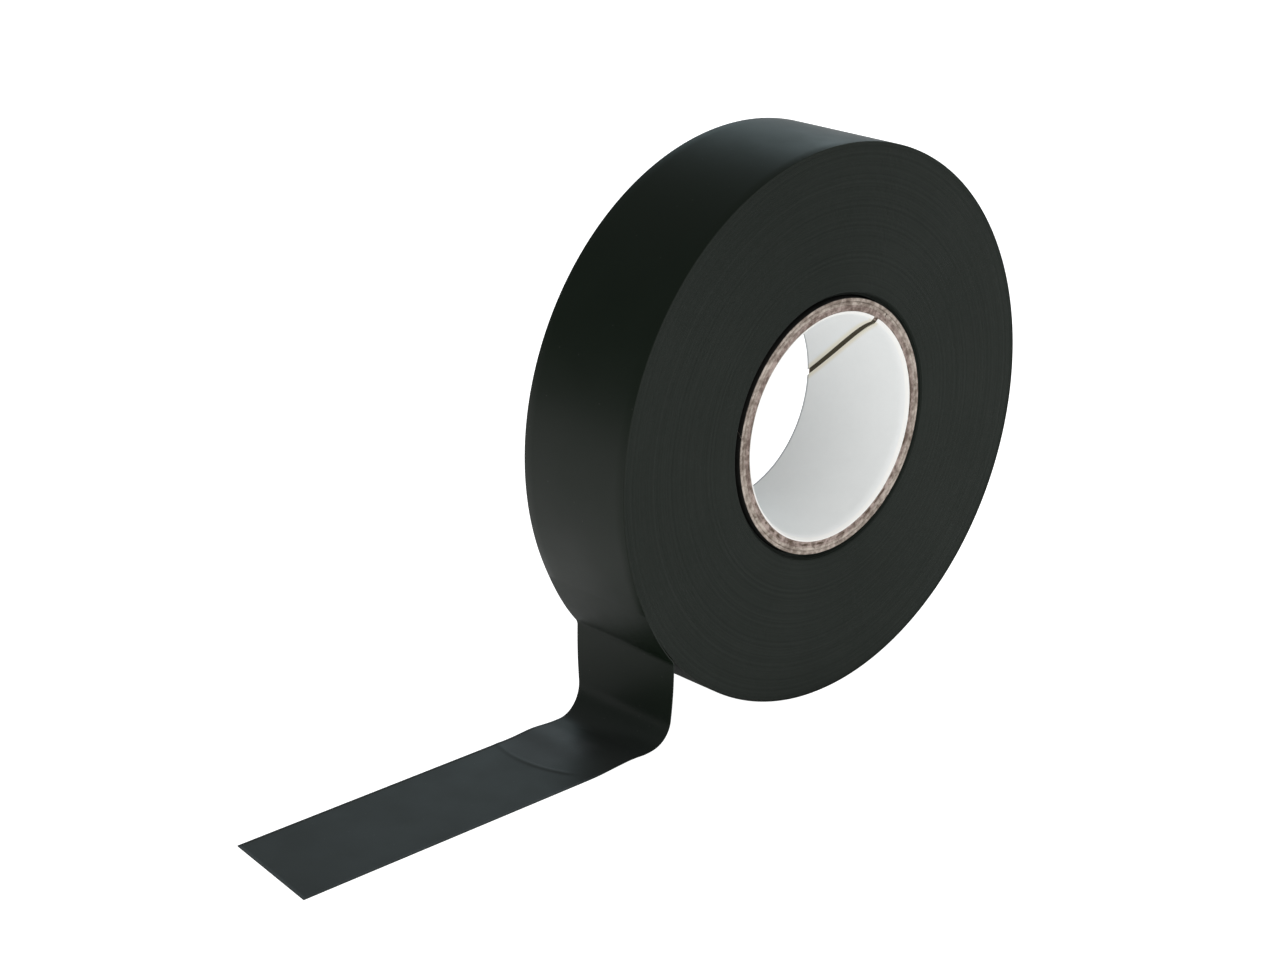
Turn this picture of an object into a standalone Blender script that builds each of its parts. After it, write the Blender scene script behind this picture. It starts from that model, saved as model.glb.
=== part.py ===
"""A roll of vinyl electrical tape that stands on its rim, with a length of tape drawn off it.

+Y is the roll's axis and points away from the face that is seen first, +Z is up, and the
tape runs off towards -X. The origin is on the ground, in the middle of the footprint.
"""

import math

import bmesh
import bpy
from mathutils import Vector

# Driving dimensions, in metres and radians
TAPE_WIDTH = 0.019
ROLL_RADIUS = 0.0396
TAPE_THICKNESS = 0.00013
CORE_BORE_RADIUS = 0.01565
LINER_THICKNESS = 0.00022
PLY_THICKNESS = 0.00056
PLY_COUNT = 4
GLUE_GAP = 0.00004
CORE_TO_TAPE_GAP = 0.0001

SEAM_ADVANCE = math.radians(-60)
LINER_SEAM_ANGLE = math.radians(30)
LINER_SEAM_GAP = 0.00065
PLY_SEAM_GAP = 0.0003
PLY_SEAM_STEP = math.radians(118)

LEAD_CLEARANCE = 0.00012
LEAD_PLANE_X = -0.02975
PEEL_FILLET = 0.0015
PEEL_HUG = math.radians(3)
FLOOR_FILLET = 0.0044
NECKED_WIDTH = 0.0163
NECK_LENGTH = 0.019
NECK_EASE = 1.6
LEAD_END_X = -0.046
LIFT_HINGE_X = -0.068
TAIL_END_X = -0.0895
TAIL_END_SKEW = 0.001
STRIP_GAP = 0.0002

CORE_SEGMENTS = 72
TAPE_SEGMENTS = 96

# The middle of the footprint lies this far from the roll's axis
FOOTPRINT_MIDDLE = (ROLL_RADIUS + TAIL_END_X - TAIL_END_SKEW) / 2
AXIS_X = -FOOTPRINT_MIDDLE
AXIS_Z = ROLL_RADIUS


def clear_scene():
    for obj in list(bpy.data.objects):
        bpy.data.objects.remove(obj)


def make_material(name, color, roughness):
    material = bpy.data.materials.new(name)
    material.use_nodes = True
    shader = material.node_tree.nodes["Principled BSDF"]
    shader.inputs["Base Color"].default_value = (*color, 1)
    shader.inputs["Roughness"].default_value = roughness
    return material


def add_empty(name, location, parent=None):
    empty = bpy.data.objects.new(name, None)
    empty.location = location
    empty.parent = parent
    bpy.context.scene.collection.objects.link(empty)
    return empty


def add_object(name, mesh_data, material, parent):
    mesh = bpy.data.meshes.new(name)
    mesh_data.to_mesh(mesh)
    mesh_data.free()
    mesh.materials.append(material)
    mesh.shade_smooth()
    mesh.set_sharp_from_angle(angle=math.radians(30))
    obj = bpy.data.objects.new(name, mesh)
    obj.parent = parent
    bpy.context.scene.collection.objects.link(obj)
    return obj


def ring_mesh(inner, outer, segments):
    """A tube about Y, with one flat of its outside at the very bottom."""
    half = TAPE_WIDTH / 2
    corners = [(inner, -half), (outer, -half), (outer, half), (inner, half)]
    start = -math.pi / 2 + math.pi / segments
    mesh = bmesh.new()
    points = [mesh.verts.new((r * math.cos(start), y, r * math.sin(start))) for r, y in corners]
    profile = [mesh.edges.new((points[i], points[(i + 1) % 4])) for i in range(4)]
    bmesh.ops.spin(
        mesh, geom=points + profile, cent=(0, 0, 0), axis=(0, 1, 0), angle=2 * math.pi, steps=segments
    )
    bmesh.ops.remove_doubles(mesh, verts=mesh.verts, dist=1e-6)
    bmesh.ops.recalc_face_normals(mesh, faces=mesh.faces)
    return mesh


def close_loft(mesh, sections):
    """Joins four-cornered sections into one closed body."""
    rows = [[mesh.verts.new(point) for point in section] for section in sections]
    for low, high in zip(rows, rows[1:]):
        for i in range(4):
            j = (i + 1) % 4
            mesh.faces.new((low[i], low[j], high[j], high[i]))
    mesh.faces.new(rows[0])
    mesh.faces.new(rows[-1])
    bmesh.ops.recalc_face_normals(mesh, faces=mesh.faces)


def cut_seam(ring, inner, outer, angle, gap):
    """Cuts the helical butt joint between two edges of the wound paper strip."""
    steps = 12
    reach = 0.6 * TAPE_WIDTH
    margin = 0.4 * (outer - inner)
    sections = []
    for step in range(steps + 1):
        y = reach * (2 * step / steps - 1)
        turn = angle + SEAM_ADVANCE * y / TAPE_WIDTH
        out = Vector((math.cos(turn), 0, math.sin(turn)))
        side = Vector((-math.sin(turn), 0, math.cos(turn))) * gap / 2
        along = Vector((0, y, 0))
        low, high = out * (inner - margin), out * (outer + margin)
        sections.append([low - side + along, high - side + along, high + side + along, low + side + along])
    mesh = bmesh.new()
    close_loft(mesh, sections)
    cutter = add_object(ring.name + "_seam_cutter", mesh, ring.data.materials[0], ring.parent)
    cutter.hide_render = True
    cutter.display_type = "WIRE"
    cut = ring.modifiers.new("seam", "BOOLEAN")
    cut.operation = "DIFFERENCE"
    cut.solver = "EXACT"
    cut.object = cutter


def make_core(roll):
    """The spirally wound paperboard core: a white liner inside, then the board plies."""
    liner_paper = make_material("liner_paper", (0.66, 0.67, 0.66), 0.55)
    board = make_material("core_board", (0.42, 0.33, 0.27), 0.9)
    inner = CORE_BORE_RADIUS
    outer = inner + LINER_THICKNESS
    liner = add_object("core_liner", ring_mesh(inner, outer, CORE_SEGMENTS), liner_paper, roll)
    # The seam is square to its helix, so along the rim it opens wider than its true gap
    lean = math.atan(abs(SEAM_ADVANCE) * inner / TAPE_WIDTH)
    cut_seam(liner, inner, outer, LINER_SEAM_ANGLE, LINER_SEAM_GAP / math.cos(lean))
    for ply in range(1, PLY_COUNT + 1):
        inner = outer + GLUE_GAP
        outer = inner + PLY_THICKNESS
        board_ply = add_object(f"core_ply_{ply}", ring_mesh(inner, outer, CORE_SEGMENTS), board, roll)
        cut_seam(board_ply, inner, outer, LINER_SEAM_ANGLE + ply * PLY_SEAM_STEP, PLY_SEAM_GAP)
    return outer


def make_wound_tape(roll, vinyl, core_radius):
    turn_inner = ROLL_RADIUS - TAPE_THICKNESS
    winding = ring_mesh(core_radius + CORE_TO_TAPE_GAP, turn_inner - GLUE_GAP, TAPE_SEGMENTS)
    add_object("tape_winding", winding, vinyl, roll)
    add_object("tape_outer_turn", ring_mesh(turn_inner, ROLL_RADIUS, TAPE_SEGMENTS), vinyl, roll)


def arc(center, radius, start, end, steps):
    """Points on a circle in the XZ plane, each with the direction square to the circle."""
    points = []
    for step in range(steps + 1):
        angle = start + (end - start) * step / steps
        out = Vector((math.cos(angle), 0, math.sin(angle)))
        points.append((center + radius * out, out))
    return points


def lead_path():
    """The middle of the tape from the peel line to the flat, from the roll's axis.

    It hugs the rim, turns down where it peels off, hangs straight, and bends onto the ground.
    The second value of each point is the direction that the tape's back faces.
    """
    half = TAPE_THICKNESS / 2
    hug_radius = ROLL_RADIUS + LEAD_CLEARANCE + half
    fillet_x = LEAD_PLANE_X - PEEL_FILLET
    fillet_z = -math.sqrt((hug_radius + PEEL_FILLET) ** 2 - fillet_x**2)
    peel = math.atan2(fillet_z, fillet_x) + 2 * math.pi
    path = arc(Vector(), hug_radius, peel - PEEL_HUG, peel, 2)
    fillet = arc(Vector((fillet_x, 0, fillet_z)), PEEL_FILLET, peel - math.pi, 0, 5)
    path += [(point, -out) for point, out in fillet[1:]]
    bend_center = Vector((LEAD_PLANE_X - FLOOR_FILLET, 0, half - ROLL_RADIUS + FLOOR_FILLET))
    bend = arc(bend_center, FLOOR_FILLET, 0, -math.pi / 2, 10)
    top, back = path[-1]
    path += [(top.lerp(bend[0][0], step / 5), back) for step in range(1, 5)]
    path += [(point, -out) for point, out in bend]
    flat_z = half - ROLL_RADIUS
    return path, bend_center.x, flat_z


def strip_width(run):
    """The pulled tape necks in as it hangs and bends, by its distance along from the peel."""
    share = min(max(run / NECK_LENGTH, 0), 1)
    eased = (share * share * (3 - 2 * share)) ** NECK_EASE
    return TAPE_WIDTH + (NECKED_WIDTH - TAPE_WIDTH) * eased


def strip_mesh(path, shift, run, end_skew=0.0):
    """A thin strip along the path, as one closed body, with its last edge cut askew.

    The run is the path's distance from the peel at its first point.
    """
    sections = []
    for index, (point, back) in enumerate(path):
        run += (point - path[max(index - 1, 0)][0]).length
        half_width = strip_width(run) / 2
        skew = end_skew if index == len(path) - 1 else 0
        front = point + shift + Vector((-skew, -half_width, 0))
        rear = point + shift + Vector((skew, half_width, 0))
        lift = back * TAPE_THICKNESS / 2
        sections.append([front - lift, rear - lift, rear + lift, front + lift])
    mesh = bmesh.new()
    close_loft(mesh, sections)
    return mesh


def make_free_tape(lead, draw, lift, vinyl):
    path, flat_start, flat_z = lead_path()
    up = Vector((0, 0, 1))

    def flat(start, end, steps):
        xs = [start + (end - start) * step / steps for step in range(steps + 1)]
        return [(Vector((x, 0, flat_z)), up) for x in xs]

    axis = Vector((AXIS_X, 0, AXIS_Z))
    hug = -ROLL_RADIUS * PEEL_HUG
    for name, parent, points, run, skew in (
        ("tape_lead", lead, path + flat(flat_start, LEAD_END_X, 6)[1:], hug, 0),
        ("tape_run", draw, flat(LEAD_END_X - STRIP_GAP, LIFT_HINGE_X, 4), NECK_LENGTH, 0),
        ("tape_end", lift, flat(LIFT_HINGE_X - STRIP_GAP, TAIL_END_X, 4), NECK_LENGTH, TAIL_END_SKEW),
    ):
        shift = axis - parent.matrix_world.translation
        add_object(name, strip_mesh(points, shift, run, skew), vinyl, parent)


clear_scene()
axis_point = Vector((AXIS_X, 0, AXIS_Z))
lead_frame = add_empty("lead_frame", axis_point)
roll_turn = add_empty("roll_turn", (0, 0, 0), lead_frame)
tail_draw = add_empty("tail_draw", (LEAD_END_X, 0, -ROLL_RADIUS), lead_frame)
hinge_offset = (LIFT_HINGE_X - LEAD_END_X, 0, TAPE_THICKNESS / 2)
tail_lift = add_empty("tail_lift", hinge_offset, tail_draw)
bpy.context.view_layer.update()

black_vinyl = make_material("black_vinyl", (0.028, 0.034, 0.03), 0.42)
core_outer_radius = make_core(roll_turn)
make_wound_tape(roll_turn, black_vinyl, core_outer_radius)
make_free_tape(lead_frame, tail_draw, tail_lift, black_vinyl)
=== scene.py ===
import math

import bpy
import numpy as np
from mathutils import Matrix, Vector


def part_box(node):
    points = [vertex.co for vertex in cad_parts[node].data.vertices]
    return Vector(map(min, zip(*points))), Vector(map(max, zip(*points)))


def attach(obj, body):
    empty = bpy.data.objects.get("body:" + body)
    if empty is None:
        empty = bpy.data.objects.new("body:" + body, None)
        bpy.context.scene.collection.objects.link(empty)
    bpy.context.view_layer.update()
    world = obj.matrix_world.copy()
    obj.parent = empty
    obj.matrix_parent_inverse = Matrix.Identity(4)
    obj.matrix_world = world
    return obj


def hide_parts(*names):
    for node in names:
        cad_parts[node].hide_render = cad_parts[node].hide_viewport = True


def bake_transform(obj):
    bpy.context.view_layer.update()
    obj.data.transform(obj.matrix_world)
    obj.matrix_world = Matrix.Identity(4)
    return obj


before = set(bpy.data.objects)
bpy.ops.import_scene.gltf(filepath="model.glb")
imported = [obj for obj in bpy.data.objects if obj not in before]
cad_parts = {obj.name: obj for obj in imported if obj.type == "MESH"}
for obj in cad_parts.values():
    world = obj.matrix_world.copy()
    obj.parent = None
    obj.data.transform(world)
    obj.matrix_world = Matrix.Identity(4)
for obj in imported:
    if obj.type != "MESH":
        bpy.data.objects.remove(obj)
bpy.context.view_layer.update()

# ---------------------------------------------------------------------------------------------
# The core's liner: smooth white paper, wound as a helix on a mandrel before the board plies.
# Its two edges meet in a butt seam that stands a little open and shows the brown board.
# The roll hangs on this bore, so everything else is placed from its middle.

liner_low, liner_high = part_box("core_liner")
rim_low, rim_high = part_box("tape_outer_turn")
axis_point = (rim_low + rim_high) / 2
roll_radius = axis_point.z
tape_width = rim_high.y - rim_low.y
liner_outer_radius = (liner_high.x - liner_low.x) / 2
liner_thickness = 0.00022
seam_advance = math.radians(-60)
liner_seam_angle = math.radians(30)
liner_seam_gap = 0.00086
liner_segments = 160


def put(tree, kind, inputs=None, **settings):
    """Adds a node and fills its inputs with plain values or with other nodes' sockets."""
    node = tree.nodes.new(kind)
    for name, value in settings.items():
        setattr(node, name, value)
    for key, value in (inputs or {}).items():
        if isinstance(value, bpy.types.NodeSocket):
            tree.links.new(value, node.inputs[key])
        else:
            node.inputs[key].default_value = value
    return node


def calc(tree, operation, first, second=0.0, third=None):
    """A Math node's result."""
    inputs = {0: first, 1: second}
    if third is not None:
        inputs[2] = third
    return put(tree, "ShaderNodeMath", inputs, operation=operation).outputs[0]


def fade(tree, value, start, end, low=0.0, high=1.0):
    """A smooth step of value, from low at start to high at end."""
    inputs = {"Value": value, "From Min": start, "From Max": end, "To Min": low, "To Max": high}
    return put(tree, "ShaderNodeMapRange", inputs, interpolation_type="SMOOTHSTEP").outputs[0]


def new_tree(name, kind, inputs, outputs):
    """A node group with named sockets, and its input and output nodes."""
    tree = bpy.data.node_groups.new(name, kind)
    for side, sockets in (("INPUT", inputs), ("OUTPUT", outputs)):
        for socket_name, socket_kind, value in sockets:
            socket_type = "NodeSocket" + socket_kind
            made = tree.interface.new_socket(socket_name, in_out=side, socket_type=socket_type)
            if value is not None:
                made.default_value = value
    return tree, tree.nodes.new("NodeGroupInput").outputs, tree.nodes.new("NodeGroupOutput").inputs


def vector_calc(tree, operation, first, second=None):
    """A Vector Math node's result, which is a value for LENGTH and a vector otherwise."""
    inputs = {0: first}
    if operation == "SCALE":
        inputs["Scale"] = second
    elif second is not None:
        inputs[1] = second
    outputs = put(tree, "ShaderNodeVectorMath", inputs, operation=operation).outputs
    return outputs["Value"] if operation == "LENGTH" else outputs["Vector"]


def turned_about_y(tree, position, angle):
    """Turns a position about the roll's axis, from +X towards +Z."""
    back = calc(tree, "MULTIPLY", angle, -1.0)
    inputs = {"Vector": position, "Angle": back, "Axis": (0.0, 1.0, 0.0)}
    return put(tree, "ShaderNodeVectorRotate", inputs, rotation_type="AXIS_ANGLE").outputs[0]


def noise(tree, vector, scale, detail=2.0, roughness=0.5):
    """Noise through space, from 0 to 1."""
    inputs = {"Vector": vector, "Scale": scale, "Detail": detail, "Roughness": roughness}
    return put(tree, "ShaderNodeTexNoise", inputs).outputs[0]


# A strip of paper wound once round the mandrel: swept round the axis, then twisted so that its seam
# runs as a helix, with its cut ends frayed and its front end flared
ply_tree, ply_in, ply_out = new_tree(
    "Wound paper ply",
    "GeometryNodeTree",
    [
        ("Inner Radius", "Float", 0.01565),
        ("Thickness", "Float", 0.0002),
        ("Width", "Float", 0.019),
        ("Seam Angle", "Float", 0.0),
        ("Seam Advance", "Float", 0.0),
        ("Seam Gap", "Float", 0.001),
        ("Fray", "Float", 0.00005),
        ("Waviness", "Float", 0.00001),
        ("End Flare", "Float", 0.0),
        ("Segments", "Int", 360),
        ("Seed", "Float", 0.0),
        ("Axis Point", "Vector", None),
        ("Material", "Material", None),
    ],
    [("Geometry", "Geometry", None)],
)
half_wall = calc(ply_tree, "MULTIPLY", ply_in["Thickness"], 0.5)
mid_radius = calc(ply_tree, "ADD", ply_in["Inner Radius"], half_wall)
gap_angle = calc(ply_tree, "DIVIDE", ply_in["Seam Gap"], mid_radius)
arc = put(
    ply_tree,
    "GeometryNodeCurveArc",
    {
        "Resolution": ply_in["Segments"],
        "Radius": mid_radius,
        "Start Angle": calc(ply_tree, "MULTIPLY", gap_angle, 0.5),
        "Sweep Angle": calc(ply_tree, "SUBTRACT", 2 * math.pi, gap_angle),
    },
)
along = put(ply_tree, "GeometryNodeSplineParameter")
to_middle = calc(ply_tree, "ABSOLUTE", calc(ply_tree, "SUBTRACT", along.outputs["Factor"], 0.5))
ring_length = calc(ply_tree, "MULTIPLY", mid_radius, 2 * math.pi)
from_seam = calc(ply_tree, "MULTIPLY", calc(ply_tree, "SUBTRACT", 0.5, to_middle), ring_length)
marked_arc = put(
    ply_tree,
    "GeometryNodeStoreNamedAttribute",
    {"Geometry": arc.outputs["Curve"], "Name": "from_seam", "Value": from_seam},
    data_type="FLOAT",
    domain="POINT",
)
section = put(
    ply_tree,
    "GeometryNodeCurvePrimitiveQuadrilateral",
    {"Width": ply_in["Thickness"], "Height": ply_in["Width"]},
)
rounded = put(
    ply_tree,
    "GeometryNodeFilletCurve",
    {"Curve": section.outputs["Curve"], "Radius": calc(ply_tree, "MULTIPLY", ply_in["Thickness"], 0.22)},
    mode="POLY",
)
fine_section = put(
    ply_tree,
    "GeometryNodeSubdivideCurve",
    {"Curve": rounded.outputs["Curve"], "Cuts": 23},
)
swept = put(
    ply_tree,
    "GeometryNodeCurveToMesh",
    {
        "Curve": marked_arc.outputs["Geometry"],
        "Profile Curve": fine_section.outputs["Curve"],
        "Fill Caps": True,
    },
)
upright = put(
    ply_tree,
    "GeometryNodeTransform",
    {"Geometry": swept.outputs["Mesh"], "Rotation": (math.pi / 2, 0.0, 0.0)},
)
place = put(ply_tree, "GeometryNodeInputPosition").outputs[0]
place_y = put(ply_tree, "ShaderNodeSeparateXYZ", {"Vector": place}).outputs["Y"]
share = calc(ply_tree, "DIVIDE", place_y, ply_in["Width"])
helix = calc(ply_tree, "MULTIPLY_ADD", share, ply_in["Seam Advance"], ply_in["Seam Angle"])
twisted = put(
    ply_tree,
    "GeometryNodeSetPosition",
    {"Geometry": upright.outputs["Geometry"], "Position": turned_about_y(ply_tree, place, helix)},
)
seed_vector = put(ply_tree, "ShaderNodeCombineXYZ", {0: ply_in["Seed"], 1: ply_in["Seed"]}).outputs[0]
seeded = vector_calc(ply_tree, "ADD", place, seed_vector)
at_end = fade(ply_tree, calc(ply_tree, "ABSOLUTE", share), 0.485, 0.4995)
torn = calc(ply_tree, "SUBTRACT", noise(ply_tree, seeded, 2600.0, 3.0, 0.65), 0.55)
frayed = calc(ply_tree, "MULTIPLY", calc(ply_tree, "MULTIPLY", torn, ply_in["Fray"]), at_end)
outwards_y = calc(ply_tree, "MULTIPLY", frayed, calc(ply_tree, "SIGN", share))
wave = calc(ply_tree, "SUBTRACT", noise(ply_tree, seeded, 260.0, 1.0), 0.5)
near_end = fade(ply_tree, share, -0.450, -0.500, 0.0, 1.0)
flare = calc(ply_tree, "MULTIPLY", near_end, ply_in["End Flare"])
radial = calc(ply_tree, "MULTIPLY_ADD", wave, ply_in["Waviness"], flare)
flat_place = vector_calc(ply_tree, "MULTIPLY", place, (1.0, 0.0, 1.0))
away = vector_calc(ply_tree, "NORMALIZE", flat_place)
radial_move = vector_calc(ply_tree, "SCALE", away, radial)
end_move = put(ply_tree, "ShaderNodeCombineXYZ", {"Y": outwards_y}).outputs[0]
both_moves = vector_calc(ply_tree, "ADD", radial_move, end_move)
worn = put(
    ply_tree,
    "GeometryNodeSetPosition",
    {"Geometry": twisted.outputs["Geometry"], "Offset": both_moves},
)
placed = put(
    ply_tree,
    "GeometryNodeTransform",
    {"Geometry": worn.outputs["Geometry"], "Translation": ply_in["Axis Point"]},
)
real_ply = put(ply_tree, "GeometryNodeRealizeInstances", {"Geometry": placed.outputs["Geometry"]})
painted_ply = put(
    ply_tree,
    "GeometryNodeSetMaterial",
    {"Geometry": real_ply.outputs["Geometry"], "Material": ply_in["Material"]},
)
ply_tree.links.new(painted_ply.outputs["Geometry"], ply_out["Geometry"])


def grown(name, tree, sharp_angle, **values):
    """A piece made by a node tree with these inputs, as a plain mesh."""
    obj = bpy.data.objects.new(name, bpy.data.meshes.new(name))
    bpy.context.scene.collection.objects.link(obj)
    modifier = obj.modifiers.new("grow", "NODES")
    modifier.node_group = tree
    identifiers = {s.name: s.identifier for s in tree.interface.items_tree if s.in_out == "INPUT"}
    for key, value in values.items():
        modifier[identifiers[key.replace("_", " ").title()]] = value
    bpy.context.view_layer.update()
    evaluated = obj.evaluated_get(bpy.context.evaluated_depsgraph_get())
    mesh = bpy.data.meshes.new_from_object(evaluated)
    obj.modifiers.remove(modifier)
    obj.data = mesh
    mesh.name = name
    mesh.shade_smooth()
    mesh.set_sharp_from_angle(angle=math.radians(sharp_angle))
    return obj


# Where a point is on the core, as round-the-rim, outwards and lengthwise distances
polar_tree, polar_in, polar_out = new_tree(
    "Core coordinates",
    "ShaderNodeTree",
    [("Axis Point", "Vector", None)],
    [
        ("Vector", "Vector", None),
        ("Radius", "Float", None),
        ("Lengthwise", "Float", None),
        ("Up", "Float", None),
    ],
)
core_place = put(polar_tree, "ShaderNodeTexCoord").outputs["Object"]
from_axis = vector_calc(polar_tree, "SUBTRACT", core_place, polar_in["Axis Point"])
parts = put(polar_tree, "ShaderNodeSeparateXYZ", {0: from_axis}).outputs
core_angle = calc(polar_tree, "ARCTAN2", parts["Z"], parts["X"])
level = vector_calc(polar_tree, "MULTIPLY", from_axis, (1.0, 0.0, 1.0))
core_radius = vector_calc(polar_tree, "LENGTH", level)
polar_vector = put(
    polar_tree,
    "ShaderNodeCombineXYZ",
    {"X": calc(polar_tree, "MULTIPLY", core_angle, 0.017), "Y": core_radius, "Z": parts["Y"]},
).outputs[0]
polar_tree.links.new(polar_vector, polar_out["Vector"])
polar_tree.links.new(core_radius, polar_out["Radius"])
polar_tree.links.new(parts["Y"], polar_out["Lengthwise"])
polar_tree.links.new(calc(polar_tree, "DIVIDE", parts["Z"], core_radius), polar_out["Up"])

# Pressed paper: matted fibres of uneven tone, and small flecks
fibre_tree, fibre_in, fibre_out = new_tree(
    "Paper fibre",
    "ShaderNodeTree",
    [("Vector", "Vector", None), ("Fibre Scale", "Float", 2500.0), ("Fleck Share", "Float", 0.3)],
    [("Tone", "Float", None), ("Flecks", "Float", None), ("Height", "Float", None)],
)
matted = noise(fibre_tree, fibre_in["Vector"], fibre_in["Fibre Scale"], 5.0, 0.62)
cloud_scale = calc(fibre_tree, "MULTIPLY", fibre_in["Fibre Scale"], 0.22)
clouds = noise(fibre_tree, fibre_in["Vector"], cloud_scale, 3.0)
fibre_tone = calc(fibre_tree, "MULTIPLY_ADD", matted, 0.6, calc(fibre_tree, "MULTIPLY", clouds, 0.4))
fleck_scale = calc(fibre_tree, "MULTIPLY", fibre_in["Fibre Scale"], 0.7)
fleck_noise = noise(fibre_tree, fibre_in["Vector"], fleck_scale)
fleck_reach = calc(fibre_tree, "MULTIPLY", fibre_in["Fleck Share"], 0.4)
fleck_start = calc(fibre_tree, "SUBTRACT", 0.78, fleck_reach)
flecks = fade(fibre_tree, fleck_noise, fleck_start, calc(fibre_tree, "ADD", fleck_start, 0.08))
fibre_tree.links.new(fibre_tone, fibre_out["Tone"])
fibre_tree.links.new(flecks, fibre_out["Flecks"])
fibre_tree.links.new(matted, fibre_out["Height"])


def new_material(name):
    """A new material, its node tree and its shader."""
    material = bpy.data.materials.new(name)
    material.use_nodes = True
    return material, material.node_tree, material.node_tree.nodes["Principled BSDF"]


def group(tree, made, inputs):
    """The outputs of a shader group, placed in a material with its own values."""
    return put(tree, "ShaderNodeGroup", inputs, node_tree=made).outputs


def mix(tree, factor, first, second):
    """A mix of two colours."""
    node = put(tree, "ShaderNodeMix", {"Factor": factor}, data_type="RGBA")
    for socket, value in ((node.inputs[6], first), (node.inputs[7], second)):
        if isinstance(value, bpy.types.NodeSocket):
            tree.links.new(value, socket)
        else:
            socket.default_value = (*value, 1.0)
    return node.outputs[2]


def raise_bump(tree, shader, height, distance, strength):
    """Feeds a height into a shader's normal."""
    bump = put(tree, "ShaderNodeBump", {"Height": height, "Distance": distance, "Strength": strength})
    tree.links.new(bump.outputs["Normal"], shader.inputs["Normal"])


white_liner, tree, shader = new_material("white_liner_paper")
polar = group(tree, polar_tree, {"Axis Point": axis_point})
fibre = group(tree, fibre_tree, {"Vector": polar["Vector"], "Fibre Scale": 1500.0, "Fleck Share": 0.1})
seam_distance = put(tree, "ShaderNodeAttribute", attribute_name="from_seam").outputs["Fac"]
worn_edge = fade(tree, seam_distance, 0.0002, 0.0011, 1.0, 0.0)
paper_tone = mix(tree, fibre["Tone"], (0.87, 0.88, 0.875), (0.94, 0.95, 0.94))
cream_edge = mix(tree, calc(tree, "MULTIPLY", worn_edge, 0.8), paper_tone, (0.80, 0.74, 0.58))
# Painted shade: the last half millimetre of the liner's back end is turned grey, standing in for the
# shade on that back edge.
back_end_shade_mask = fade(tree, polar["Lengthwise"], 0.00905, 0.0093)
back_end_shaded_tone = mix(tree, calc(tree, "MULTIPLY", back_end_shade_mask, 0.8), cream_edge, (0.40, 0.41, 0.43))
# Painted highlight: the last half millimetre of the liner's front end is turned near white, standing in
# for the light its flared front edge catches.
front_end_highlight_mask = fade(tree, polar["Lengthwise"], -0.0089, -0.0092)
front_end_highlight_tone = mix(tree, front_end_highlight_mask, back_end_shaded_tone, (0.97, 0.96, 0.93))
tree.links.new(front_end_highlight_tone, shader.inputs["Base Color"])
tree.links.new(calc(tree, "MULTIPLY_ADD", fibre["Tone"], 0.2, 0.42), shader.inputs["Roughness"])
raise_bump(tree, shader, fibre["Height"], 0.00002, 0.5)

liner = grown(
    "core_liner_paper",
    ply_tree,
    40,
    inner_radius=liner_outer_radius - liner_thickness,
    thickness=liner_thickness,
    width=tape_width,
    seam_angle=liner_seam_angle,
    seam_advance=seam_advance,
    seam_gap=liner_seam_gap,
    fray=0.00006,
    waviness=0.00003,
    end_flare=0.00050,
    segments=liner_segments,
    seed=0.3,
    axis_point=axis_point,
    material=white_liner,
)
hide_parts("core_liner")
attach(liner, "roll")

# ---------------------------------------------------------------------------------------------
# The core's board: four plies of recycled chipboard, wound and glued over the liner.
# The tube was sawn to length, so its cut ends are rough, and the glue line in mid-wall is dark.

ply_names = ["core_ply_1", "core_ply_2", "core_ply_3", "core_ply_4"]
ply_thickness = 0.00056
ply_seam_step = math.radians(118)
board_outer_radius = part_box("core_ply_4")[1].x - axis_point.x
glue_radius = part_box("core_ply_1")[1].x - axis_point.x


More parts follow.
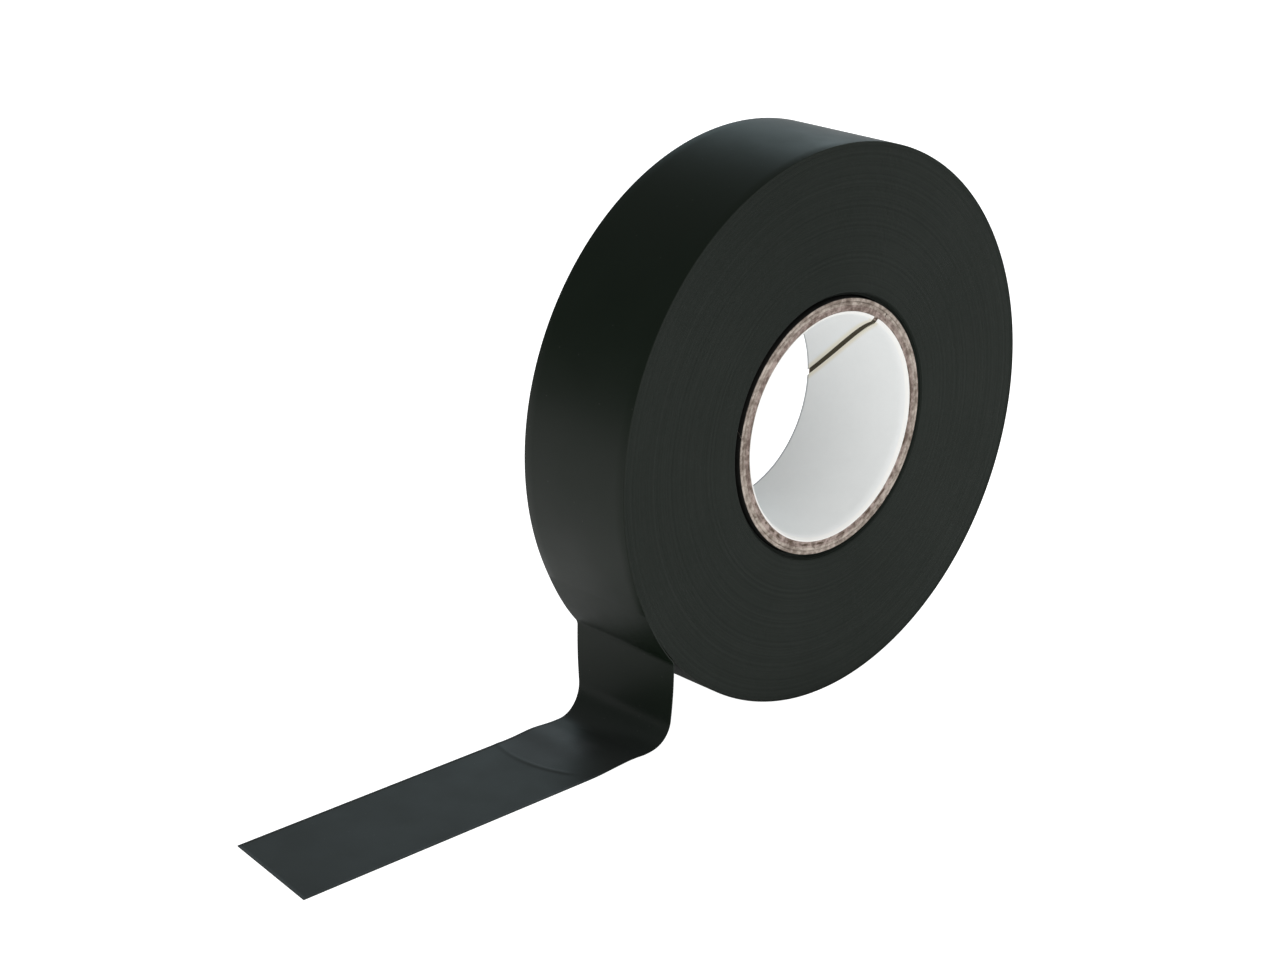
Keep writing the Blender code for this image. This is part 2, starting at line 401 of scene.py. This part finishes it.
def board(name, dark, light):
    """Raw chipboard: dark and blotched where the glue line runs, with painted shade in the liner's seam
    and on the outer wall by the tape.
    """
    material, tree, shader = new_material(name)
    polar = group(tree, polar_tree, {"Axis Point": axis_point})
    stretched = vector_calc(tree, "MULTIPLY", polar["Vector"], (0.9, 1.0, 1.0))
    fibre = group(tree, fibre_tree, {"Vector": stretched, "Fibre Scale": 1300.0, "Fleck Share": 0.4})
    tone = mix(tree, fade(tree, fibre["Tone"], 0.38, 0.62), dark, light)
    flecked = mix(tree, calc(tree, "MULTIPLY", fibre["Flecks"], 0.6), tone, (0.12, 0.085, 0.065))
    wander = calc(tree, "SUBTRACT", noise(tree, polar["Vector"], 420.0, 2.0), 0.5)
    leaning = calc(tree, "MULTIPLY_ADD", polar["Up"], -0.0003, glue_radius)
    line_radius = calc(tree, "MULTIPLY_ADD", wander, 0.0005, leaning)
    off_line = calc(tree, "ABSOLUTE", calc(tree, "SUBTRACT", polar["Radius"], line_radius))
    line = fade(tree, off_line, 0.00006, 0.0003, 1.0, 0.0)
    broken = fade(tree, noise(tree, polar["Vector"], 700.0, 3.0, 0.6), 0.42, 0.6)
    glued = mix(tree, calc(tree, "MULTIPLY", line, broken), flecked, (0.10, 0.07, 0.05))
    # Painted shade: inside the bore, the board at the bottom of the liner's open seam is darkened for the
    # shade in that narrow gap.
    in_seam = fade(
        tree, polar["Radius"], liner_outer_radius + 0.00010, liner_outer_radius + 0.00022, 1.0, 0.0
    )
    inside = fade(tree, calc(tree, "ABSOLUTE", polar["Lengthwise"]), 0.0091, 0.00935, 1.0, 0.0)
    seam_painted_shade_tone = mix(tree, calc(tree, "MULTIPLY", in_seam, inside), glued, (0.070, 0.060, 0.040))
    # Painted shade: the board's outermost tenth of a millimetre, the wall down in the groove beside the
    # tape, is made near black for the shade there.
    tape_groove_shade_mask = fade(tree, polar["Radius"], board_outer_radius - 0.00012, board_outer_radius - 0.00004)
    tree.links.new(mix(tree, tape_groove_shade_mask, seam_painted_shade_tone, (0.006, 0.006, 0.005)), shader.inputs["Base Color"])
    shader.inputs["Roughness"].default_value = 0.9
    shader.inputs["Specular IOR Level"].default_value = 0.2
    raise_bump(tree, shader, fibre["Height"], 0.00006, 0.7)
    return material


inner_board = board("pinkish_board", (0.17, 0.125, 0.105), (0.46, 0.375, 0.335))
outer_board = board("cream_board", (0.23, 0.185, 0.155), (0.56, 0.49, 0.43))
for count, name in enumerate(ply_names, 1):
    low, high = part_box(name)
    outer = (high.x - low.x) / 2
    ply = grown(
        f"core_board_ply_{count}",
        ply_tree,
        50,
        inner_radius=outer - ply_thickness,
        thickness=ply_thickness,
        width=tape_width,
        seam_angle=liner_seam_angle + count * ply_seam_step,
        seam_advance=seam_advance,
        seam_gap=0.0002,
        fray=0.00016,
        waviness=0.0,
        end_flare=(0.00042, 0.00020, 0.0, 0.0)[count - 1],
        segments=liner_segments,
        seed=float(count),
        axis_point=axis_point,
        material=inner_board if count < 3 else outer_board,
    )
    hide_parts(name)
    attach(ply, "roll")

# ---------------------------------------------------------------------------------------------
# The wound tape: about 162 turns of one black vinyl tape, slit to width before it was wound.
# On the sides its cut edges show as fine rings. Each turn sits a hair further in or out than
# the last, and the first few sink in beside the core.

wound_low, wound_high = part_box("tape_winding")
wound_outer_radius = (wound_high.x - wound_low.x) / 2
winding_depth = 0.02106
wound_inner_radius = wound_outer_radius - winding_depth
turn_count = 162
turn_pitch = winding_depth / turn_count
band_turns = [40, 41, 40, 41]
turn_segments = 128

wound_tree, wound_in, wound_out = new_tree(
    "Wound tape",
    "GeometryNodeTree",
    [
        ("Start Radius", "Float", 0.018),
        ("Turns", "Int", 40),
        ("First Turn", "Float", 0.0),
        ("Last Turn", "Float", 162.0),
        ("Pitch", "Float", 0.00013),
        ("Film Thickness", "Float", 0.000126),
        ("Width", "Float", 0.019),
        ("Segments", "Int", 128),
        ("Drift", "Float", 0.00003),
        ("Jitter", "Float", 0.00001),
        ("Core Groove", "Float", 0.0003),
        ("Rim Flare", "Float", 0.00005),
        ("Seed", "Float", 0.0),
        ("Axis Point", "Vector", None),
        ("Material", "Material", None),
    ],
    [("Geometry", "Geometry", None)],
)
half_film = calc(wound_tree, "MULTIPLY", wound_in["Pitch"], 0.5)
start_radius = calc(wound_tree, "ADD", wound_in["Start Radius"], half_film)
wound_depth = calc(wound_tree, "MULTIPLY", wound_in["Turns"], wound_in["Pitch"])
spiral = put(
    wound_tree,
    "GeometryNodeCurveSpiral",
    {
        "Resolution": wound_in["Segments"],
        "Rotations": wound_in["Turns"],
        "Start Radius": start_radius,
        "End Radius": calc(wound_tree, "ADD", start_radius, wound_depth),
        "Height": 0.0,
    },
)
step = put(wound_tree, "GeometryNodeInputIndex").outputs[0]
band_turn = calc(wound_tree, "DIVIDE", step, wound_in["Segments"])
turn_number = calc(wound_tree, "ADD", band_turn, wound_in["First Turn"])
marked_spiral = put(
    wound_tree,
    "GeometryNodeStoreNamedAttribute",
    {"Geometry": spiral.outputs["Curve"], "Name": "turn", "Value": turn_number},
    data_type="FLOAT",
    domain="POINT",
)
film_section = put(
    wound_tree,
    "GeometryNodeCurvePrimitiveQuadrilateral",
    {"Width": wound_in["Film Thickness"], "Height": wound_in["Width"]},
)
film_rounded = put(
    wound_tree,
    "GeometryNodeFilletCurve",
    {"Curve": film_section.outputs["Curve"], "Radius": 0.00004},
    mode="POLY",
)
film_swept = put(
    wound_tree,
    "GeometryNodeCurveToMesh",
    {
        "Curve": marked_spiral.outputs["Geometry"],
        "Profile Curve": film_rounded.outputs["Curve"],
        "Fill Caps": True,
    },
)
film_upright = put(
    wound_tree,
    "GeometryNodeTransform",
    {"Geometry": film_swept.outputs["Mesh"], "Rotation": (math.pi / 2, 0.0, 0.0)},
)
turn_here = put(
    wound_tree, "GeometryNodeInputNamedAttribute", {"Name": "turn"}, data_type="FLOAT"
).outputs[0]


def line_noise(tree, value, scale, seed, detail):
    """Noise along a line, from -0.5 to 0.5."""
    inputs = {"W": calc(tree, "ADD", value, seed), "Scale": scale, "Detail": detail}
    texture = put(tree, "ShaderNodeTexNoise", inputs, noise_dimensions="1D").outputs[0]
    return calc(tree, "SUBTRACT", texture, 0.5)


slow_noise = line_noise(wound_tree, turn_here, 0.11, wound_in["Seed"], 2.0)
drift = calc(wound_tree, "MULTIPLY", slow_noise, wound_in["Drift"])
quick_noise = line_noise(wound_tree, turn_here, 1.37, wound_in["Seed"], 1.0)
jitter = calc(wound_tree, "MULTIPLY", quick_noise, wound_in["Jitter"])
film_y = put(
    wound_tree, "ShaderNodeSeparateXYZ", {0: put(wound_tree, "GeometryNodeInputPosition").outputs[0]}
).outputs["Y"]
side = calc(wound_tree, "SIGN", film_y)
by_core = fade(wound_tree, turn_here, 2.0, 6.0, 1.0, 0.0)
sunk = calc(wound_tree, "MULTIPLY", by_core, wound_in["Core Groove"])
turns_left = calc(wound_tree, "SUBTRACT", wound_in["Last Turn"], turn_here)
by_rim = fade(wound_tree, turns_left, 0.0, 5.0, 1.0, 0.0)
flared = calc(wound_tree, "MULTIPLY", by_rim, wound_in["Rim Flare"])
sideways = calc(wound_tree, "MULTIPLY", side, calc(wound_tree, "SUBTRACT", flared, sunk))
film_move = calc(wound_tree, "ADD", calc(wound_tree, "ADD", drift, jitter), sideways)
film_shifted = put(
    wound_tree,
    "GeometryNodeSetPosition",
    {
        "Geometry": film_upright.outputs["Geometry"],
        "Offset": put(wound_tree, "ShaderNodeCombineXYZ", {"Y": film_move}).outputs[0],
    },
)
film_placed = put(
    wound_tree,
    "GeometryNodeTransform",
    {"Geometry": film_shifted.outputs["Geometry"], "Translation": wound_in["Axis Point"]},
)
real_film = put(wound_tree, "GeometryNodeRealizeInstances", {"Geometry": film_placed.outputs["Geometry"]})
painted_film = put(
    wound_tree,
    "GeometryNodeSetMaterial",
    {"Geometry": real_film.outputs["Geometry"], "Material": wound_in["Material"]},
)
wound_tree.links.new(painted_film.outputs["Geometry"], wound_out["Geometry"])

# Calendered vinyl: a fine grain, cloudy gloss and a few specks of dust
grain_tree, grain_in, grain_out = new_tree(
    "Vinyl grain",
    "ShaderNodeTree",
    [("Vector", "Vector", None), ("Grain Scale", "Float", 6000.0), ("Cloud Scale", "Float", 120.0)],
    [("Height", "Float", None), ("Clouds", "Float", None), ("Dust", "Float", None)],
)
grain = noise(grain_tree, grain_in["Vector"], grain_in["Grain Scale"], 2.0)
gloss_clouds = noise(grain_tree, grain_in["Vector"], grain_in["Cloud Scale"], 3.0, 0.55)
specks = put(
    grain_tree,
    "ShaderNodeTexVoronoi",
    {"Vector": grain_in["Vector"], "Scale": calc(grain_tree, "MULTIPLY", grain_in["Cloud Scale"], 5.0)},
).outputs["Distance"]
dust = fade(grain_tree, specks, 0.03, 0.07, 1.0, 0.0)
grain_tree.links.new(grain, grain_out["Height"])
grain_tree.links.new(gloss_clouds, grain_out["Clouds"])
grain_tree.links.new(dust, grain_out["Dust"])

slit_edges, tree, shader = new_material("slit_vinyl_edges")
object_place = put(tree, "ShaderNodeTexCoord").outputs["Object"]
vinyl = group(tree, grain_tree, {"Vector": object_place, "Grain Scale": 5000.0, "Cloud Scale": 90.0})
turn_value = put(tree, "ShaderNodeAttribute", attribute_name="turn").outputs["Fac"]
ring_noise = put(
    tree, "ShaderNodeTexNoise", {"W": turn_value, "Scale": 0.35, "Detail": 4.0}, noise_dimensions="1D"
).outputs[0]
ring_share = calc(tree, "MULTIPLY", ring_noise, 0.65)
ring_tone = fade(tree, calc(tree, "MULTIPLY_ADD", vinyl["Clouds"], 0.35, ring_share), 0.3, 0.7)
edge_tone = mix(tree, ring_tone, (0.0112, 0.0158, 0.0120), (0.0146, 0.0196, 0.0154))
tree.links.new(edge_tone, shader.inputs["Base Color"])
tree.links.new(calc(tree, "MULTIPLY_ADD", ring_tone, -0.1, 0.58), shader.inputs["Roughness"])
shader.inputs["Specular IOR Level"].default_value = 0.2
raise_bump(tree, shader, vinyl["Height"], 0.00001, 0.4)

first_turn = 0
for count, turns in enumerate(band_turns, 1):
    band = grown(
        f"wound_turns_{count}",
        wound_tree,
        75,
        start_radius=wound_inner_radius + first_turn * turn_pitch,
        turns=turns,
        first_turn=float(first_turn),
        last_turn=float(turn_count),
        pitch=turn_pitch,
        film_thickness=turn_pitch * 0.97,
        width=tape_width - 0.00012,
        segments=turn_segments,
        drift=0.00007,
        jitter=0.00002,
        core_groove=0.0009,
        rim_flare=0.00002,
        seed=7.0,
        axis_point=axis_point,
        material=slit_edges,
    )
    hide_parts("tape_winding")
    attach(band, "roll")
    first_turn += turns

# ---------------------------------------------------------------------------------------------
# The outermost turn, with the film's satin back outwards. It lies smooth and tight on the
# turns below, and its edges are rounded where the roll has been handled.

outer_segments = 288
film_thickness = 0.00013
outer_inner_radius = roll_radius - film_thickness
edge_round = 0.00006

# The film's calendered back: satin, with faint cloudiness, and paler where it has been stretched, partly
# as stretch whitening and partly as painted sheen and a painted highlight
satin_back, tree, shader = new_material("satin_vinyl_back")
object_place = put(tree, "ShaderNodeTexCoord").outputs["Object"]
vinyl = group(tree, grain_tree, {"Vector": object_place, "Grain Scale": 7000.0, "Cloud Scale": 110.0})
film_tone = mix(tree, vinyl["Clouds"], (0.00396, 0.007744, 0.00396), (0.00504, 0.009856, 0.00504))
stretch_and_sheen_share = put(tree, "ShaderNodeAttribute", attribute_name="stretch_and_sheen").outputs["Fac"]
# Painted sheen and highlight, with stretch whitening: the base colour is lightened towards grey where the
# film is pulled.
paled_and_sheen_tone = mix(tree, stretch_and_sheen_share, film_tone, (0.037, 0.040, 0.040))
dusty = mix(tree, calc(tree, "MULTIPLY", vinyl["Dust"], 0.06), paled_and_sheen_tone, (0.35, 0.35, 0.33))
tree.links.new(dusty, shader.inputs["Base Color"])
tree.links.new(fade(tree, vinyl["Clouds"], 0.3, 0.7, 0.37, 0.43), shader.inputs["Roughness"])
shader.inputs["Specular IOR Level"].default_value = 0.185
raise_bump(tree, shader, vinyl["Height"], 0.000006, 0.35)


def ring_from_profile(name, profile, segments, material):
    """A closed ring about the roll's axis from a closed profile of (radius, y) points."""
    profile = np.array(profile, float)
    angles = np.arange(segments) * 2 * math.pi / segments - math.pi / 2
    radius, y = profile[:, 0], profile[:, 1]
    count = len(profile)
    x = np.outer(np.cos(angles), radius) + axis_point.x
    z = np.outer(np.sin(angles), radius) + axis_point.z
    points = np.stack([x, np.broadcast_to(y + axis_point.y, x.shape), z], axis=-1).reshape(-1, 3)
    faces = []
    for i in range(segments):
        ahead = (i + 1) % segments
        for j in range(count):
            k = (j + 1) % count
            faces.append((i * count + j, i * count + k, ahead * count + k, ahead * count + j))
    mesh = bpy.data.meshes.new(name)
    mesh.from_pydata(points.tolist(), [], faces)
    mesh.materials.append(material)
    mesh.shade_smooth()
    obj = bpy.data.objects.new(name, mesh)
    bpy.context.scene.collection.objects.link(obj)
    return obj


def rounded_film_profile(inner, outer, half_width, corner):
    """A film's cross-section, with its two outer corners rounded."""
    points = [(inner, half_width), (inner, -half_width)]
    for sign, angles in ((-1, (0, 30, 60, 90)), (1, (90, 60, 30, 0))):
        for angle in angles:
            turn = math.radians(angle)
            radius = outer - corner + corner * math.sin(turn)
            points.append((radius, sign * (half_width - corner + corner * math.cos(turn))))
        if sign < 0:
            for step in range(1, 12):
                points.append((outer, (half_width - corner) * (step / 6 - 1)))
    return points


outer_turn = ring_from_profile(
    "outer_turn",
    rounded_film_profile(outer_inner_radius, roll_radius, tape_width / 2, edge_round),
    outer_segments,
    satin_back,
)
outer_turn.data.set_sharp_from_angle(angle=math.radians(50))
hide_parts("tape_outer_turn")
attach(outer_turn, "roll")

# ---------------------------------------------------------------------------------------------
# The tape drawn off: it peels from the rim, hangs straight and bends onto the ground. Pulled
# vinyl stretches and necks, so it is narrower where it lies flat, and it lifts a little after
# the bend. Its back is satin and its underside carries the glossy adhesive.

hang_x = -0.02975
run_end = -0.0615
tail_end = -0.0895
peel_fillet = 0.0015
floor_fillet = 0.0044
lead_clearance = 0.00012
hug_length = math.radians(16) * roll_radius
full_width = tape_width - 0.00004
necked_width = 0.0163
neck_length = 0.019
crease_x = -0.0466
film_columns = 54

adhesive_side, tree, shader = new_material("tacky_adhesive_side")
object_place = put(tree, "ShaderNodeTexCoord").outputs["Object"]
vinyl = group(tree, grain_tree, {"Vector": object_place, "Grain Scale": 2500.0, "Cloud Scale": 200.0})
tree.links.new(
    mix(tree, vinyl["Clouds"], (0.008, 0.009, 0.008), (0.014, 0.015, 0.013)), shader.inputs["Base Color"]
)
tree.links.new(fade(tree, vinyl["Clouds"], 0.3, 0.7, 0.16, 0.3), shader.inputs["Roughness"])
raise_bump(tree, shader, vinyl["Height"], 0.00002, 0.5)


def smooth(value):
    """A smooth step from 0 to 1."""
    value = np.clip(value, 0, 1)
    return value * value * (3 - 2 * value)


def film_center_line(flat_end):
    """The film's middle surface from the rim to the flat, as x, z, and the way its back faces."""
    half = film_thickness / 2
    hug = roll_radius + lead_clearance + half
    start_depth = lead_clearance + film_thickness + 0.00002
    fillet_x = hang_x - peel_fillet
    fillet_z = -math.sqrt((hug + peel_fillet) ** 2 - fillet_x**2)
    peel = math.atan2(fillet_z, fillet_x) + 2 * math.pi
    rows = []
    for t in np.linspace(0, 1, 25):
        angle = peel - hug_length / roll_radius * (1 - t)
        radius = hug - start_depth * (1 - smooth(t * 1.02))
        out_x, out_z = math.cos(angle), math.sin(angle)
        rows.append((radius * out_x, radius * out_z, out_x, out_z))
    for t in np.linspace(0, 1, 11)[1:]:
        angle = (peel - math.pi) * (1 - t)
        x = fillet_x + peel_fillet * math.cos(angle)
        z = fillet_z + peel_fillet * math.sin(angle)
        rows.append((x, z, -math.cos(angle), -math.sin(angle)))
    bend_z = half - roll_radius + floor_fillet
    for t in np.linspace(0, 1, 22)[1:]:
        rows.append((hang_x, fillet_z + (bend_z - fillet_z) * t, -1.0, 0.0))
    bend_x = hang_x - floor_fillet
    for t in np.linspace(0, 1, 21)[1:]:
        angle = -math.pi / 2 * t
        x = bend_x + floor_fillet * math.cos(angle)
        z = bend_z + floor_fillet * math.sin(angle)
        rows.append((x, z, -math.cos(angle), -math.sin(angle)))
    crease_start, crease_end = crease_x + 0.0028, crease_x - 0.0012
    for x in np.concatenate(
        [
            np.linspace(bend_x, crease_start, 36)[1:],
            np.linspace(crease_start, crease_end, 51)[1:],
            np.linspace(crease_end, flat_end, 31)[1:],
        ]
    ):
        rows.append((x, half - roll_radius, 0.0, 1.0))
    return np.array(rows) + np.array([axis_point.x, axis_point.z, 0, 0])


def width_at(run):
    """The film's width at a run along it from the peel: it necks as it hangs and bends."""
    return full_width + (necked_width - full_width) * smooth(run / neck_length) ** 1.6


def crease_at(v):
    """Where the fold across the flat tape runs, from the roll's axis."""
    return crease_x + 0.0022 * (v - 0.35) ** 2


def lifted(x, v, run):
    """How far the film stands off its path, in metres.

    It has a low ridge behind the bend, a bulge in the bend's front half, the fold, and cut edges
    that curl up. v goes from -1 at the front to 1 at the rear, and run is the way from the peel.
    """
    out = x - axis_point.x
    ridge = np.exp(-(((out + 0.0395) / 0.0026) ** 2)) * (0.6 + 0.4 * v)
    bulge = smooth((-0.0300 - out) / 0.0035) * (1 - smooth((-0.0345 - out) / 0.0085))
    bulge = bulge * smooth((0.5 - v) / 1.5)
    fold = np.exp(-(((out - crease_at(v)) / 0.00042) ** 2))
    fold = fold * smooth((v + 0.8) / 0.3) * (1 - 0.45 * smooth((v + 0.2) / 1.2))
    side_curl = smooth((np.abs(v) - 0.945) / 0.055) * smooth((run - 0.014) / 0.005)
    end_curl = smooth((tail_end + 0.0005 - out) / 0.0005)
    curl = np.maximum(side_curl, end_curl)
    lift = 0.00024 * ridge + 0.00045 * bulge + 0.00007 * fold + 0.00005 * curl
    return lift * smooth((run - 0.0085) / 0.003)


def stretch_and_sheen_at(x, v, run):
    """How far the film is paled, from 0 to 1, at a run along it from the peel: partly stretch whitening,
    partly painted sheen.
    """
    out = x - axis_point.x
    # Painted highlight: a patch between the bend and the fold, on the rear part of the film, is paled for
    # the light it reflects.
    painted_highlight_patch = smooth((-0.0356 - out) / 0.0015) * smooth((out - crease_at(v)) / 0.001)
    painted_highlight_patch = painted_highlight_patch * smooth((run - 0.012) / 0.001)
    return 0.62 * smooth((run - 0.004) / 0.018) + 0.38 * painted_highlight_patch * smooth((v + 0.45) / 0.4)


def film_strip(name, rows, start_run=0.0, end_skew=0.0):
    """A closed strip of film along rows of (x, z, nx, nz), the first at start_run from the peel."""
    edge = np.linspace(0.94, 1, 7)
    v = np.concatenate([-edge[::-1], np.linspace(-0.94, 0.94, film_columns - 11)[1:-1], edge])
    x, z, nx, nz = (rows[:, i][:, None] for i in range(4))
    steps = np.hypot(np.diff(rows[:, 0]), np.diff(rows[:, 1]))
    run = (start_run + np.concatenate([[0], np.cumsum(steps)]))[:, None]
    half_width = width_at(run) / 2
    y = v[None, :] * half_width
    lift = lifted(x, v[None, :], run)
    skew = end_skew * smooth((rows[-1, 0] + 0.012 - x) / 0.012)
    xs = x + nx * lift + skew * v[None, :]
    zs = z + nz * lift + 0 * v[None, :]
    ys = y + 0 * x
    half = film_thickness / 2
    layers = []
    for sign in (1, -1):
        layers.append(np.stack([xs + sign * nx * half, ys, zs + sign * nz * half], axis=-1))
    count, across = len(rows), film_columns + 1
    points = np.concatenate([layer.reshape(-1, 3) for layer in layers])
    back, glue = 0, count * across
    faces, kinds = [], []

    def quad(a, b, c, d, kind):
        faces.append((a, b, c, d))
        kinds.append(kind)

    for i in range(count - 1):
        for j in range(across - 1):
            a, b = i * across + j, i * across + j + 1
            c, d = b + across, a + across
            quad(back + a, back + b, back + c, back + d, 0)
            quad(glue + d, glue + c, glue + b, glue + a, 1)
        front, rear = i * across, i * across + across - 1
        quad(back + front, back + front + across, glue + front + across, glue + front, 2)
        quad(back + rear + across, back + rear, glue + rear, glue + rear + across, 2)
    last = (count - 1) * across
    for j in range(across - 1):
        quad(back + j + 1, back + j, glue + j, glue + j + 1, 2)
        quad(back + last + j, back + last + j + 1, glue + last + j + 1, glue + last + j, 2)
    mesh = bpy.data.meshes.new(name)
    mesh.from_pydata(points.tolist(), [], faces)
    for material in (satin_back, adhesive_side, slit_edges):
        mesh.materials.append(material)
    # Painted sheen and highlight, with stretch whitening: how pale each point is, kept for the satin
    # back.
    paled_and_sheen = np.broadcast_to(stretch_and_sheen_at(x, v[None, :], run), xs.shape).ravel()
    stretch_and_sheen = mesh.attributes.new("stretch_and_sheen", "FLOAT", "POINT")
    stretch_and_sheen.data.foreach_set("value", np.concatenate([paled_and_sheen, paled_and_sheen]).astype(np.float32))
    mesh.polygons.foreach_set("material_index", kinds)
    mesh.shade_smooth()
    mesh.set_sharp_from_angle(angle=math.radians(50))
    obj = bpy.data.objects.new(name, mesh)
    bpy.context.scene.collection.objects.link(obj)
    return obj


drawn_tape = film_strip("drawn_tape", film_center_line(run_end), start_run=-hug_length)
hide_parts("tape_lead", "tape_run")
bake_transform(drawn_tape)

# ---------------------------------------------------------------------------------------------
# The tape's free end: flat on the ground, cut off by hand and a little out of square. Its last
# half millimetre curls up a little off the ground.

tail_skew = 0.001
curl_start = tail_end + 0.0006
tail_x = np.concatenate([np.linspace(run_end, curl_start, 50), np.linspace(curl_start, tail_end, 9)[1:]])
ones = np.ones_like(tail_x)
tail_rows = np.stack([tail_x + axis_point.x, ones * film_thickness / 2, ones * 0, ones], axis=-1)
tail = film_strip("tape_tail", tail_rows, start_run=0.05, end_skew=tail_skew)
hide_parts("tape_end")
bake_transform(tail)

# ---------------------------------------------------------------------------------------------
# The studio: a pale matt floor that glows white from below, with a painted shadow round the foot of
# the roll where its glow is dimmed, and soft air that is bright in front and dim behind. One very soft
# sun stands over the front left, and a cool panel low behind the right gives the rim and the flat tape
# their sheen. The camera itself sees plain white all round.

pale_floor, tree, shader = new_material("pale_floor")
floor_place = put(tree, "ShaderNodeTexCoord").outputs["Object"]
floor_tone = mix(tree, noise(tree, floor_place, 6.0, 3.0), (0.62, 0.62, 0.62), (0.64, 0.64, 0.64))
tree.links.new(floor_tone, shader.inputs["Base Color"])
shader.inputs["Roughness"].default_value = 0.9
shader.inputs["Specular IOR Level"].default_value = 0.1
# Painted shadow: round the foot of the roll the floor's glow drops to 0.12 of its strength, shading the
# light and reflections it gives the roll; camera rays still see plain white.
painted_shadow_center = (axis_point.x - 0.012, 0.008, 0.0)
from_roll = vector_calc(tree, "SUBTRACT", floor_place, painted_shadow_center)
squeezed = vector_calc(tree, "MULTIPLY", from_roll, (0.6, 1.0, 0.0))
outside_painted_shadow = fade(tree, vector_calc(tree, "LENGTH", squeezed), 0.010, 0.034)
straight_on = put(tree, "ShaderNodeLightPath").outputs["Is Camera Ray"]
floor_glow_with_painted_shadow = mix(tree, outside_painted_shadow, (0.12, 0.12, 0.12), (1.0, 1.0, 1.0))
tree.links.new(mix(tree, straight_on, floor_glow_with_painted_shadow, (1.5, 1.5, 1.5)), shader.inputs["Emission Color"])
shader.inputs["Emission Strength"].default_value = 0.7
floor_half = 2.5
floor_corners = [(x * floor_half, y * floor_half, 0) for x, y in ((-1, -1), (1, -1), (1, 1), (-1, 1))]
floor_mesh = bpy.data.meshes.new("studio_floor")
floor_mesh.from_pydata(floor_corners, [], [(0, 1, 2, 3)])
floor_mesh.materials.append(pale_floor)
studio_floor = bpy.data.objects.new("studio_floor", floor_mesh)
bpy.context.scene.collection.objects.link(studio_floor)

world = bpy.data.worlds.new("studio_air")
bpy.context.scene.world = world
world.use_nodes = True
tree = world.node_tree
toward = put(tree, "ShaderNodeTexCoord").outputs["Generated"]
heading = put(tree, "ShaderNodeSeparateXYZ", {0: toward}).outputs
front_air = mix(tree, fade(tree, heading["Z"], 0.25, 0.9), (0.75, 0.75, 0.75), (0.45, 0.45, 0.45))
rear_air = mix(tree, fade(tree, heading["Z"], 0.4, 0.8), (0.16, 0.165, 0.17), (0.24, 0.245, 0.25))
rear_air = mix(tree, fade(tree, heading["X"], 0.55, 0.9), rear_air, (0.60, 0.61, 0.62))
air = mix(tree, fade(tree, heading["Y"], -0.35, 0.35), front_air, rear_air)
straight_on = put(tree, "ShaderNodeLightPath").outputs["Is Camera Ray"]
tree.links.new(mix(tree, straight_on, air, (1.0, 1.0, 1.0)), tree.nodes["Background"].inputs["Color"])

sun = bpy.data.lights.new("key_light", "SUN")
sun.angle = math.radians(60)
sun.energy = 0.6
key_light = bpy.data.objects.new("key_light", sun)
key_light.rotation_euler = Vector((-0.60, -0.60, 0.85)).to_track_quat("Z", "Y").to_euler()
bpy.context.scene.collection.objects.link(key_light)

panel = bpy.data.lights.new("rim_panel", "AREA")
panel.shape = "RECTANGLE"
panel.size, panel.size_y = 0.5, 0.18
panel.energy = 0.35
panel.color = (0.70, 0.93, 1.0)
panel_place, panel_aim = Vector((0.51, 0.51, 0.305)), Vector((0.02, 0, 0.06))
rim_panel = bpy.data.objects.new("rim_panel", panel)
rim_panel.location = panel_place
rim_panel.rotation_euler = (panel_place - panel_aim).to_track_quat("Z", "Y").to_euler()
bpy.context.scene.collection.objects.link(rim_panel)

azimuth, elevation, tilt = math.radians(-44.282), math.radians(20.353), math.radians(0.974)
camera_from_axis = Vector((-0.24988, -0.2281, 0.11462))
level_reach = math.cos(elevation)
toward_camera = Vector(
    (math.sin(azimuth) * level_reach, -math.cos(azimuth) * level_reach, math.sin(elevation))
)
level_right = Vector((math.cos(azimuth), math.sin(azimuth), 0))
level_up = toward_camera.cross(level_right)
right = math.cos(tilt) * level_right + math.sin(tilt) * level_up
up = math.cos(tilt) * level_up - math.sin(tilt) * level_right
camera_data = bpy.data.cameras.new("studio_camera")
camera_data.sensor_width = 36
camera_data.lens = 71.69
camera_data.clip_start, camera_data.clip_end = 0.01, 20
camera = bpy.data.objects.new("studio_camera", camera_data)
turn = Matrix((right, up, toward_camera)).transposed().to_4x4()
camera.matrix_world = Matrix.Translation(axis_point + camera_from_axis) @ turn
bpy.context.scene.collection.objects.link(camera)
bpy.context.scene.camera = camera
bpy.context.scene.view_settings.view_transform = "Standard"
